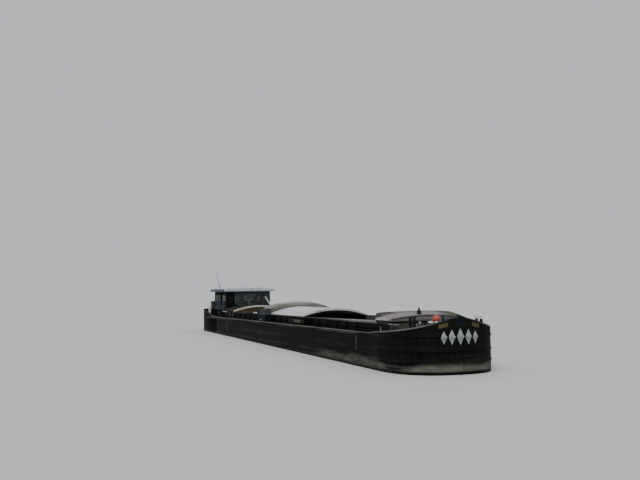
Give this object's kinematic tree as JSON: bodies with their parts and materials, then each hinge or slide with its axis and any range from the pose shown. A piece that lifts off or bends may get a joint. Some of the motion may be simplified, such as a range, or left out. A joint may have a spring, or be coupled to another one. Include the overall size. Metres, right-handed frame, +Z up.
{
  "type": "river motor barge",
  "caption": "Steel canal cargo barge with an open hold, arched hatch covers part slid back, an aft cabin, a glazed wheelhouse and a bluff bow.",
  "frame": {"origin": "under the middle of the flat bottom, midway between stem and stern", "axes": "+X to the bow, +Y to port, +Z up"},
  "size_m": [38.5, 5.05, 6.0201],
  "materials": {
    "hull_paint": "worn matt black hull paint",
    "deck_paint": "grey non-slip deck paint",
    "coaming_paint": "black paint, worn pale at the edge",
    "cover_white": "weathered aluminium, chalky white",
    "cover_grey": "dusty grey aluminium",
    "fore_paint": "faded pale brown paint under dust",
    "house_dark": "dark gloss paint",
    "house_pale": "pale grey-green paint",
    "roof_white": "white paint, chalky",
    "varnished_wood": "varnished hardwood",
    "steel": "worn galvanised steel",
    "bronze": "cast bronze",
    "orange_vinyl": "inflated vinyl",
    "white_plastic": "white moulded plastic",
    "engine_paint": "green engine enamel",
    "seat_cover": "black seat cover"
  },
  "bodies": {
    "hull": {"bitts_bow_port": "hull_paint", "bitts_bow_starboard": "hull_paint", "bitts_stern_port": "hull_paint", "bitts_stern_starboard": "hull_paint", "cabin_front": "house_pale", "cabin_roof": "cover_white", "cabin_wall_port": "house_pale", "cabin_wall_starboard": "house_pale", "coaming_fore": "coaming_paint", "coaming_port": "coaming_paint", "coaming_starboard": "coaming_paint", "cover_aft": "cover_grey", "cover_stack_1": "cover_grey", "cover_stack_2": "cover_grey", "cover_stack_3": "cover_grey", "deck_chest": "house_pale", "engine": "engine_paint", "fender_ball": "orange_vinyl", "fore_hatch_frame": "hull_paint", "fore_house": "coaming_paint", "fore_locker": "hull_paint", "fore_roof": "fore_paint", "helm_desk": "varnished_wood", "helm_seat": "seat_cover", "hold_bulkhead": "coaming_paint", "hull_bottom": "hull_paint", "hull_bow": "hull_paint", "hull_side_port": "hull_paint", "hull_side_starboard": "hull_paint", "hull_stern": "hull_paint", "lifebuoy": "white_plastic", "roof_light_box": "white_plastic", "roof_vent": "white_plastic", "side_box": "house_dark", "stern_locker": "deck_paint", "stern_vent": "white_plastic", "wheelhouse_back": "house_dark", "wheelhouse_floor": "varnished_wood", "wheelhouse_front": "house_pale", "wheelhouse_roof": "roof_white", "wheelhouse_side_port": "house_dark", "wheelhouse_side_starboard": "house_dark", "windlass_bed": "hull_paint"},
    "rudder_blade": {"rudder": "hull_paint"},
    "screw": {"propeller": "bronze", "propeller_shaft": "steel"},
    "helm_wheel": {"steering_wheel": "varnished_wood"},
    "mid_covers": {"cover_mid": "cover_white"},
    "door_s": {"door_starboard": "varnished_wood"},
    "door_p": {"door_port": "varnished_wood"},
    "hatch_lid": {"fore_hatch_lid": "deck_paint"},
    "lamp_post": {"light_post": "hull_paint"},
    "aerial": {"aerial_mast": "white_plastic"},
    "winch_drum": {"windlass_drum": "steel"}
  },
  "joints": [
    {"name": "rudder_turn", "type": "hinge", "parent": "hull", "child": "rudder_blade", "pos_m": [-18.05, 0, 0.6], "axis": [0, 0, 1], "range_deg": [-60, 60]},
    {"name": "wheel_turn", "type": "hinge", "parent": "hull", "child": "helm_wheel", "pos_m": [-13.65, 0, 3.33], "axis": [1, 0, 0], "range_deg": [-360, 360]},
    {"name": "screw_spin", "type": "hinge", "parent": "hull", "child": "screw", "pos_m": [-17.25, 0, 0.62], "axis": [1, 0, 0], "continuous": true},
    {"name": "covers_slide", "type": "slide", "parent": "hull", "child": "mid_covers", "axis": [1, 0, 0], "range_m": [0, 9.7]},
    {"name": "door_slide_starboard", "type": "slide", "parent": "hull", "child": "door_s", "axis": [-1, 0, 0], "range_m": [0, 0.8]},
    {"name": "door_slide_port", "type": "slide", "parent": "hull", "child": "door_p", "axis": [-1, 0, 0], "range_m": [0, 0.8]},
    {"name": "hatch_lift", "type": "hinge", "parent": "hull", "child": "hatch_lid", "pos_m": [16.63, 1.1, 2.81163], "axis": [0, -1, 0], "range_deg": [0, 100]},
    {"name": "post_fold", "type": "hinge", "parent": "hull", "child": "lamp_post", "pos_m": [16.2, -0.38, 3.52836], "axis": [-1, 0, 0], "range_deg": [0, 85]},
    {"name": "aerial_fold", "type": "hinge", "parent": "hull", "child": "aerial", "pos_m": [-15, -1.7, 4.82], "axis": [0, -1, 0], "range_deg": [0, 70]},
    {"name": "winch_spin", "type": "hinge", "parent": "hull", "child": "winch_drum", "pos_m": [18, 0, 3.03227], "axis": [0, 1, 0], "continuous": true}
  ],
  "couplings": [
    {"joint": "wheel_turn", "follows": "rudder_turn", "ratio": 6}
  ]
}
